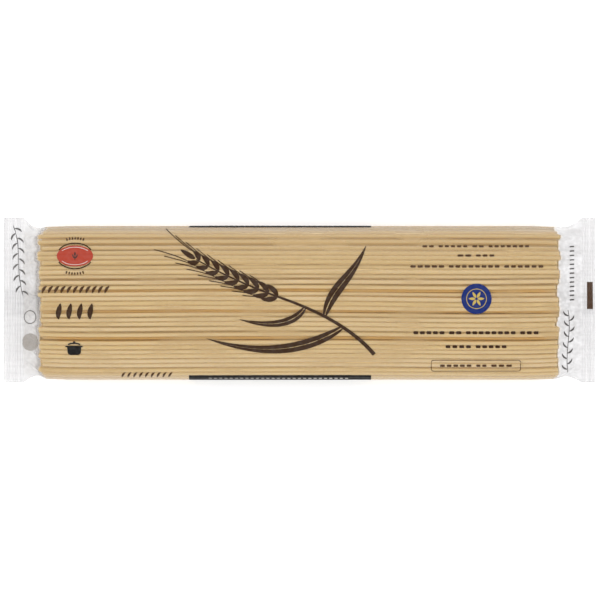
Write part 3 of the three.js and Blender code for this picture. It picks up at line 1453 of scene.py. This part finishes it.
@dataclass
class InkSheet:
    """Ink of one colour: small flat grids that are then laid on the film."""

    ink: PrintedInk
    dash_pitch: float = 3.1
    dash_gap: float = 0.75
    group_gap: float = 2.2
    points: list[np.ndarray] = field(default_factory=list)
    faces: list[list[int]] = field(default_factory=list)

    def _grid(self, table: np.ndarray, closed: bool = False) -> int:
        """Adds a grid of points that faces up.

        Args:
            table: The points, by row and column.
            closed: True where the last column joins the first.

        Returns:
            The number of its first point.
        """
        rows, columns, _ = table.shape
        first = sum(len(p) for p in self.points)
        self.faces += (grid_faces(rows, columns, closed)[:, ::-1] + first).tolist()
        self.points.append(table.reshape(-1, 2))
        return first

    def stroke(self, line: np.ndarray, width: float | np.ndarray, fineness: float = 0.4) -> None:
        """Draws a pen line.

        Args:
            line: Its points.
            width: Its width, or its width at each point.
            fineness: The distance between points across it, about.
        """
        wide = np.broadcast_to(width, len(line))
        columns = max(3, round(float(wide.max()) / fineness) + 1)
        side = np.linspace(-0.5, 0.5, columns)
        self._grid(line[:, None] + left_of(line)[:, None] * (wide[:, None] * side)[..., None])

    def blade(
        self, line: np.ndarray, width: float, belly: float = 0.9, fineness: float = 0.4
    ) -> None:
        """Draws a leaf or grain, pointed at both ends.

        Args:
            line: Its middle line.
            width: Its greatest width.
            belly: Under 1, its widest place is nearer its start.
            fineness: The distance between points across it, about.
        """
        t = np.linspace(0, 1, len(line))
        self.stroke(line, width * np.sin(math.pi * t**belly) ** 0.75 + 0.03, fineness)

    def leaf(self, line: np.ndarray, width: float, vein: float = 0.5) -> None:
        """Draws a long leaf in two halves with its bare vein between them.

        Args:
            line: Its vein.
            width: Its greatest width.
            vein: The vein's width.
        """
        t = np.linspace(0, 1, len(line))
        half = (width - vein) / 2 * np.sin(math.pi * t**0.7) ** 0.8 + 0.03
        for side in (-1, 1):
            shift = side * (half + vein * (1 - t)) / 2
            self.stroke(line + left_of(line) * shift[:, None], half)

    def bar(self, left: float, right: float, middle: float, height: float) -> None:
        """Draws a bar along X with round ends.

        Args:
            left: Where it begins.
            right: Where it ends.
            middle: Its Y.
            height: Its height.
        """
        x = np.arange(left, right, 0.3)
        corner = np.clip(np.minimum(x - left, right - x) / (height * 0.35), 0, 1)
        tall = height * (0.35 + 0.65 * np.sqrt(1 - (1 - corner) ** 2))
        self.stroke(np.column_stack([x, np.full(len(x), middle)]), tall)

    def outline(
        self, low: tuple[float, float], high: tuple[float, float], corner: float, width: float
    ) -> None:
        """Draws an oblong's outline with round corners.

        Args:
            low: Its lowest X and Y.
            high: Its highest X and Y.
            corner: Its corners' radius.
            width: The line's width.
        """
        (left, foot), (right, top) = low, high
        across = np.arange(left + corner, right - corner, 0.4)
        for y in (foot, top):
            self.stroke(np.column_stack([across, np.full(len(across), y)]), width)
        up = np.arange(foot + corner, top - corner, 0.3)
        for x in (left, right):
            self.stroke(np.column_stack([np.full(len(up), x), up]), width)
        sides = (left + corner, right - corner), (foot + corner, top - corner)
        for start, x, y in ((0, 1, 1), (90, 0, 1), (180, 0, 0), (270, 1, 0)):
            bend = arc((sides[0][x], sides[1][y]), (corner, corner), start, start + 90)
            self.stroke(bend, width)

    def dashes(
        self, left: float, right: float, middle: float, height: float, shares: Sequence[float]
    ) -> None:
        """Draws a row of even dashes, in groups with a wider gap between them.

        Args:
            left: Where the row begins.
            right: Where it ends.
            middle: Its Y.
            height: The dashes' height.
            shares: The groups' lengths beside one another.
        """
        free = right - left - self.group_gap * (len(shares) - 1)
        x = left
        for share in shares:
            length = free * share / sum(shares)
            count = max(1, round(length / self.dash_pitch))
            pitch = (length + self.dash_gap) / count
            for number in range(count):
                start = x + number * pitch
                self.bar(start, start + pitch - self.dash_gap, middle, height)
            x += length + self.group_gap

    def disc(self, centre: tuple[float, float], radii: tuple[float, float]) -> None:
        """Fills an oval.

        Args:
            centre: Its centre.
            radii: Its half width and half height.
        """
        rim = circle(max(24, round(FULL_TURN * max(radii) / 0.5))) * radii
        size = np.linspace(0.08, 1, max(4, round(max(radii) / PEN_STEP)))
        first = self._grid(centre + rim * size[:, None, None], closed=True)
        self.faces.append(list(range(first, first + len(rim))))

    def ring(self, centre: tuple[float, float], radius: float, width: float) -> None:
        """Draws a circle.

        Args:
            centre: Its centre.
            radius: Its radius.
            width: The line's width.
        """
        rim = circle(max(24, round(FULL_TURN * radius / PEN_STEP)))
        sizes = radius + np.array([-0.5, 0.0, 0.5]) * width
        self._grid(centre + rim * sizes[:, None, None], closed=True)

    def build(self, film: FilmSkin) -> bpy.types.Object:
        """Lays the ink on the film as one mesh."""
        laid = film.drop(np.concatenate(self.points), self.ink.lift)
        return mesh_object(f"print_{self.ink.name}", laid, self.faces, self.ink.material())


@dataclass(frozen=True)
class Patch:
    """An oblong of ink on the packet's sides, by X and by share of the way round."""

    left: float
    right: float
    low: float
    high: float

    def lay(self, film: FilmSkin, lift: float) -> tuple[np.ndarray, np.ndarray]:
        """Lays it on the film.

        Args:
            film: The film.
            lift: How far over the film it lies.

        Returns:
            Its points and its faces.
        """
        tall = abs(self.low - self.high) * film.form.bundle().length()
        along = np.linspace(self.left, self.right, max(3, round((self.right - self.left) / 0.75)))
        around = np.linspace(self.low, self.high, max(5, round(tall / 0.38)))
        x, share = np.meshgrid(along, around, indexing="ij")
        quads = grid_faces(len(along), len(around))
        faces = quads[:, ::-1] if self.low > self.high else quads
        return film.wrap(x.ravel(), share.ravel(), lift), faces


@dataclass
class Print:
    """The packet's print: a wheat sprig, badges, rows of dashes and bands down the sides."""

    form: PacketForm
    film: FilmSkin
    badge_at: tuple[float, float] = (-111.1, 21.8)
    pot_at: tuple[float, float] = (-111.4, -23.6)
    seal_mark_at: tuple[float, float] = (87.5, 0.6)
    band: tuple[float, float] = (-54.8, 35.5)
    near_edge: float = -37.4
    far_edge: float = 36.5

    def __post_init__(self) -> None:
        """Takes an empty sheet for each ink."""
        inks = BROWN, FINE, RED, BLUE, GOLD, GREY, DARK, PALE, BLACK
        self.sheets = [InkSheet(ink) for ink in inks]
        self.brown, self.fine, self.red, self.blue, self.gold = self.sheets[:5]
        self.grey, self.dark, self.pale, self.black = self.sheets[5:]

    def _wheat_sprig(self) -> None:
        """The large sprig in the middle: an ear with awns, a long stem and three leaves."""
        ink = self.brown
        stem = bezier((37, -27), (27, -15), (11, -6), (-9, 1))
        ink.stroke(stem, np.linspace(2.0, 1.2, len(stem)))
        ear = bezier((-9, 1), (-23, 6), (-37, 12), (-51, 20))
        ink.stroke(ear, np.linspace(1.1, 0.6, len(ear)))
        for number, at in enumerate(np.linspace(0.03, 0.97, 9)):
            index = int(at * (len(ear) - 2))
            forward, outward = heading(ear, index)
            size = 8.8 - 0.3 * number
            for side in (-1, 1):
                way = forward * 0.79 + outward * side * 0.61
                root = ear[index] + way * 0.7
                tip = root + way * size * 0.6 + forward * size * 0.4
                ink.blade(bezier(root, root + way * 3, tip - forward * 3, tip), 2.5, 0.8)
                awn = tip + forward * (9 + number)
                bow = outward * side * (1.6 + 0.2 * number)
                hair = bezier(tip, tip + forward * 4, awn - forward * 4 + bow * 0.6, awn + bow)
                ink.stroke(hair, 0.45)
        crown = ear[-1] + (-0.6, 0.4)
        top = bezier(crown, crown + (-2, 1.2), crown + (-5, 3), crown + (-7.4, 4.6))
        ink.blade(top, 2.5, 0.8)
        ink.leaf(bezier((12.4, -8.2), (16, 7), (26, 10), (33, 27)), 5.4)
        ink.leaf(bezier((22, -13), (6, -24), (-16, -29), (-46, -19)), 5.0)
        ink.leaf(bezier((3, -3.2), (-2, -12), (-14, -14), (-30, -9.5)), 3.8)

    def _badge(self) -> None:
        """The red oval badge with rims, small grains and a stalk in its middle."""
        x, y = self.badge_at
        self.red.disc(self.badge_at, (9.0, 5.2))
        for start, side in ((28, 1), (208, -1)):
            self.brown.stroke(arc(self.badge_at, (9.0, 6.3), start, start + 124), 0.6)
            self.pale.stroke(arc(self.badge_at, (7.9, 4.3), start + 8, start + 116), 0.25)
            for step in range(-3, 4):
                root = np.array([x + 1.25 * step, y + side * (8.0 - 0.07 * step * step)])
                moves = ((0, 0), (1, 0.5), (1, 1), (2, 1.6))
                line = [root + (0.12 * step * lean, side * rise) for lean, rise in moves]
                self.fine.blade(bezier(*line), 0.8)
        self.dark.stroke(np.linspace((x, y - 2.1), (x, y), 9), 0.3)
        self.dark.blade(bezier((x, y - 0.2), (x, y + 0.5), (x, y + 1.3), (x, y + 2.1)), 0.9)
        for side in (-1, 1):
            moves = ((0, -1.2), (0.5, -0.9), (1.1, -0.1), (1.3, 1.0))
            self.dark.blade(bezier(*((x + side * out, y + rise) for out, rise in moves)), 0.7)

    def _grain_rows(self) -> None:
        """Rows of leaning grains: two under the badge, and a small one by the near band."""
        for x in np.arange(-127.2, -94.0, 3.1):
            self.fine.blade(bezier((x, 3.3), (x + 0.2, 4.8), (x + 1.0, 6.2), (x + 2.4, 6.9)), 1.4)
        for x in np.arange(-88.0, -64.0, 2.9):
            corners = (x, -38.3), (x + 0.2, -37.3), (x + 0.9, -36.4), (x + 1.9, -35.7)
            self.fine.blade(bezier(*corners, step=0.12), 1.0, fineness=0.1)
        for x in (-119.0, -113.8, -108.6, -103.4):
            self.brown.blade(bezier((x, -9.6), (x - 0.9, -7), (x + 0.6, -4), (x + 0.8, -1.6)), 2.6)

    def _pot(self) -> None:
        """The small black pot low on the left: a body, two handles and a lid with a knob."""
        x, y = self.pot_at
        widths = 6.9 * np.array([0.92, 0.99, 1.0, 1.0, 0.99, 0.98, 0.97, 0.95, 0.92, 0.85, 0.62])
        self.black.stroke(np.linspace((x, y + 1.0), (x, y - 3.6), len(widths)), widths)
        self.black.bar(x - 4.5, x + 4.5, y + 0.6, 0.7)
        self.black.stroke(arc((x, y + 1.3), (3.0, 0.9), 12, 168), 0.7)
        self.black.disc((x, y + 2.75), (0.65, 0.5))

    def _lines(self) -> None:
        """Rows of dashes on the right, the last of them outlined."""
        self.fine.dashes(60.8, 113.8, 26.6, 1.0, (2, 5, 2, 7))
        self.fine.dashes(78.1, 96.5, 22.0, 1.1, (3, 4))
        self.fine.dashes(54.8, 120.8, 16.6, 1.2, (6, 9, 7))
        self.brown.dashes(56.3, 118.3, -16.2, 1.5, (5, 2, 8, 3))
        self.brown.dashes(72.2, 102.4, -23.1, 1.4, (5, 6))
        self.fine.dashes(69.5, 105.3, -32.5, 1.1, (6, 2, 4))
        self.fine.outline((65.2, -35.2), (109.4, -29.8), corner=1.2, width=0.3)

    def _seal_mark(self) -> None:
        """The blue disc with a gold ring and a gold flower."""
        self.blue.disc(self.seal_mark_at, (7.5, 7.5))
        self.gold.ring(self.seal_mark_at, 4.9, 0.3)
        for way in circle(6):
            root = self.seal_mark_at + way * 0.5
            self.gold.blade(bezier(root, root + way, root + way * 2, root + way * 3.4), 1.3)

    def _twig(self, line: np.ndarray, size: float) -> None:
        """A grey twig with small leaves on both its sides in turn.

        Args:
            line: Its stem.
            size: A leaf's length.
        """
        self.dark.stroke(line, 0.35)
        for number, index in enumerate(range(4, len(line) - 4, 6)):
            forward, outward = heading(line, index)
            outward = outward * (-1) ** number
            root = line[index]
            tip = root + (forward * 0.7 + outward * 0.7) * size
            self.dark.blade(bezier(root, root + outward * 1.2, tip - forward * 1.4, tip), 0.85)

    def _ends(self) -> None:
        """Grey marks on the clear ends, and the brown bar on the right seal."""
        self.dark.ring((-133.7, -8.5), 3.2, 0.4)
        self.grey.disc((-133.6, -20.9), (4.5, 4.4))
        self._twig(bezier((-142.5, 37), (-138, 27), (-141.5, 14), (-137.5, 2)), 4.2)
        for y in np.arange(0.0, 27.0, 2.2):
            moves = ((134.0, 0.0), (134.8, 0.1), (135.6, 0.15), (136.4, 0.2))
            self.dark.stroke(np.array(moves) + (0, y), 0.7)
        self._twig(bezier((133.2, -36), (131.2, -26), (135.4, -14), (133.0, -5)), 3.8)
        self.fine.stroke(np.linspace((144.6, -4.5), (144.6, 9.0), 27), 2.9, fineness=0.1)

    def _wrapped(
        self, name: str, patches: list[Patch], lift: float, finish: bpy.types.Material
    ) -> bpy.types.Object:
        """Lays oblong patches of ink on the packet's sides.

        Args:
            name: The piece's name.
            patches: The patches.
            lift: How far over the film they lie.
            finish: The ink's material.

        Returns:
            The ink as one mesh.
        """
        points, faces, first = [], [], 0
        for patch in patches:
            laid, quads = patch.lay(self.film, lift)
            points.append(laid)
            faces += (quads + first).tolist()
            first += len(laid)
        return mesh_object(name, np.concatenate(points), faces, finish)

    def _side_bands(self) -> list[Patch]:
        """Places the black bands down both narrow sides.

        Returns:
            The bands.
        """
        section = self.form.bundle()
        sides = (0.545, self.near_edge), (-0.045, self.far_edge)
        return [Patch(*self.band, low, section.share_over(edge)) for low, edge in sides]

    def _band_marks(self) -> list[Patch]:
        """Places rows of small pale oblongs along the upper edges of the bands.

        Returns:
            The oblongs.
        """
        section = self.form.bundle()
        share_of_mm = 1 / section.length()
        near = section.share_over(self.near_edge) + 1.7 * share_of_mm
        far, tall = -0.012, 1.3 * share_of_mm
        sides = (near + tall, near), (far - tall, far)
        lefts = np.arange(-45.0, 25.0, 2.6)
        return [Patch(x, x + 1.5, low, high) for x in lefts for low, high in sides]

    def build(self) -> list[tuple[bpy.types.Object, Slot]]:
        """Lays all the ink.

        Returns:
            Each piece of ink and its finish.
        """
        self._wheat_sprig()
        self._badge()
        self._grain_rows()
        self._pot()
        self._lines()
        self._seal_mark()
        self._ends()
        made = [(sheet.build(self.film), sheet.ink.slot) for sheet in self.sheets]
        black = made[-1][0].data.materials[0]
        bands = self._wrapped("side_bands", self._side_bands(), BLACK.lift, black)
        marks = self._wrapped("band_marks", self._band_marks(), CREAM.lift, CREAM.material())
        return made + [(bands, BLACK.slot), (marks, CREAM.slot)]


@dataclass(frozen=True)
class SoftBox:
    """A lamp that looks at the packet, with its sizes in metres and its power in watts."""

    name: str
    place: tuple[float, float, float]
    size: tuple[float, float]
    power: float

    def hang(self) -> None:
        """Hangs the lamp."""
        light = bpy.data.lights.new(self.name, "AREA")
        light.shape = "RECTANGLE"
        light.size, light.size_y = self.size
        light.energy = self.power
        made = bpy.data.objects.new(self.name, light)
        made.location = self.place
        made.rotation_euler = (-Vector(self.place)).to_track_quat("-Z", "Y").to_euler()
        bpy.context.scene.collection.objects.link(made)


@dataclass
class Studio:
    """The plain floor, the lights and the camera straight above."""

    photo_pixels: int = 600
    pixel: float = 0.496
    photo_centre: tuple[float, float] = (0.25, 0.0)
    focus_z: float = 18.0
    lens: float = 200.0
    sky: float = 1.15
    floor_size: float = 8.0
    boxes: tuple[SoftBox, ...] = (
        SoftBox("far_box", (-0.15, 1.15, 1.0), (1.3, 0.7), 4.2),
        SoftBox("near_box", (0.15, -1.15, 1.0), (1.3, 0.7), 4.0),
        SoftBox("left_box", (-1.3, 0.1, 0.8), (0.5, 0.9), 2.1),
        SoftBox("right_box", (1.3, -0.1, 0.8), (0.5, 0.9), 2.1),
    )

    def floor(self) -> bpy.types.Object:
        """Lays the floor.

        Returns:
            The floor.
        """
        bpy.ops.object.select_all(action="DESELECT")
        bpy.ops.mesh.primitive_plane_add(size=self.floor_size)
        made = bpy.context.object
        made.name = "floor"
        made.data.materials.append(StudioPaper().material())
        return made

    def camera(self) -> None:
        """Sets the camera over the packet, so that a photo's pixel is as wide as stated."""
        data = bpy.data.cameras.new("camera")
        data.lens = self.lens
        data.clip_start, data.clip_end = 0.05, 20
        away = self.photo_pixels * self.pixel * self.lens / data.sensor_width
        made = bpy.data.objects.new("camera", data)
        made.location = Vector((*self.photo_centre, away + self.focus_z)) * MM
        bpy.context.scene.collection.objects.link(made)
        bpy.context.scene.camera = made

    def build(self) -> None:
        """Sets up the whole studio."""
        self.floor()
        self.camera()
        world = bpy.data.worlds.new("studio")
        world.use_nodes = True
        sky = world.node_tree.nodes["Background"].inputs
        sky["Color"].default_value = WHITE
        sky["Strength"].default_value = self.sky
        bpy.context.scene.world = world
        bpy.context.scene.view_settings.view_transform = "Standard"
        for box in self.boxes:
            box.hang()


def dress(piece: bpy.types.Object) -> None:
    """Says which body a piece rides on.

    Args:
        piece: The piece.
    """
    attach(piece, BODY)
    log.info("%s: %d points", piece.name, len(piece.data.vertices))


def main() -> None:
    """Builds the packet and its studio."""
    logging.basicConfig(level=logging.INFO, format="%(name)s: %(message)s")
    Studio().build()
    form = PacketForm.from_frame()
    bundle = PastaBundle(form)
    pasta = DryPasta().material()
    for layer in Layer:
        dress(bundle.build(f"strands_{layer.value}", layer, pasta))
    film = FilmSkin(form, bundle)
    clear = ClearFilm().material()
    skin = film.build("film", clear)
    dress(skin)
    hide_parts(NODE)
    dress(BackSeam(form, film).build("back_seam", clear))
    for piece, slot in Print(form, film).build():
        dress(piece)


if __name__ == "__main__":
    main()
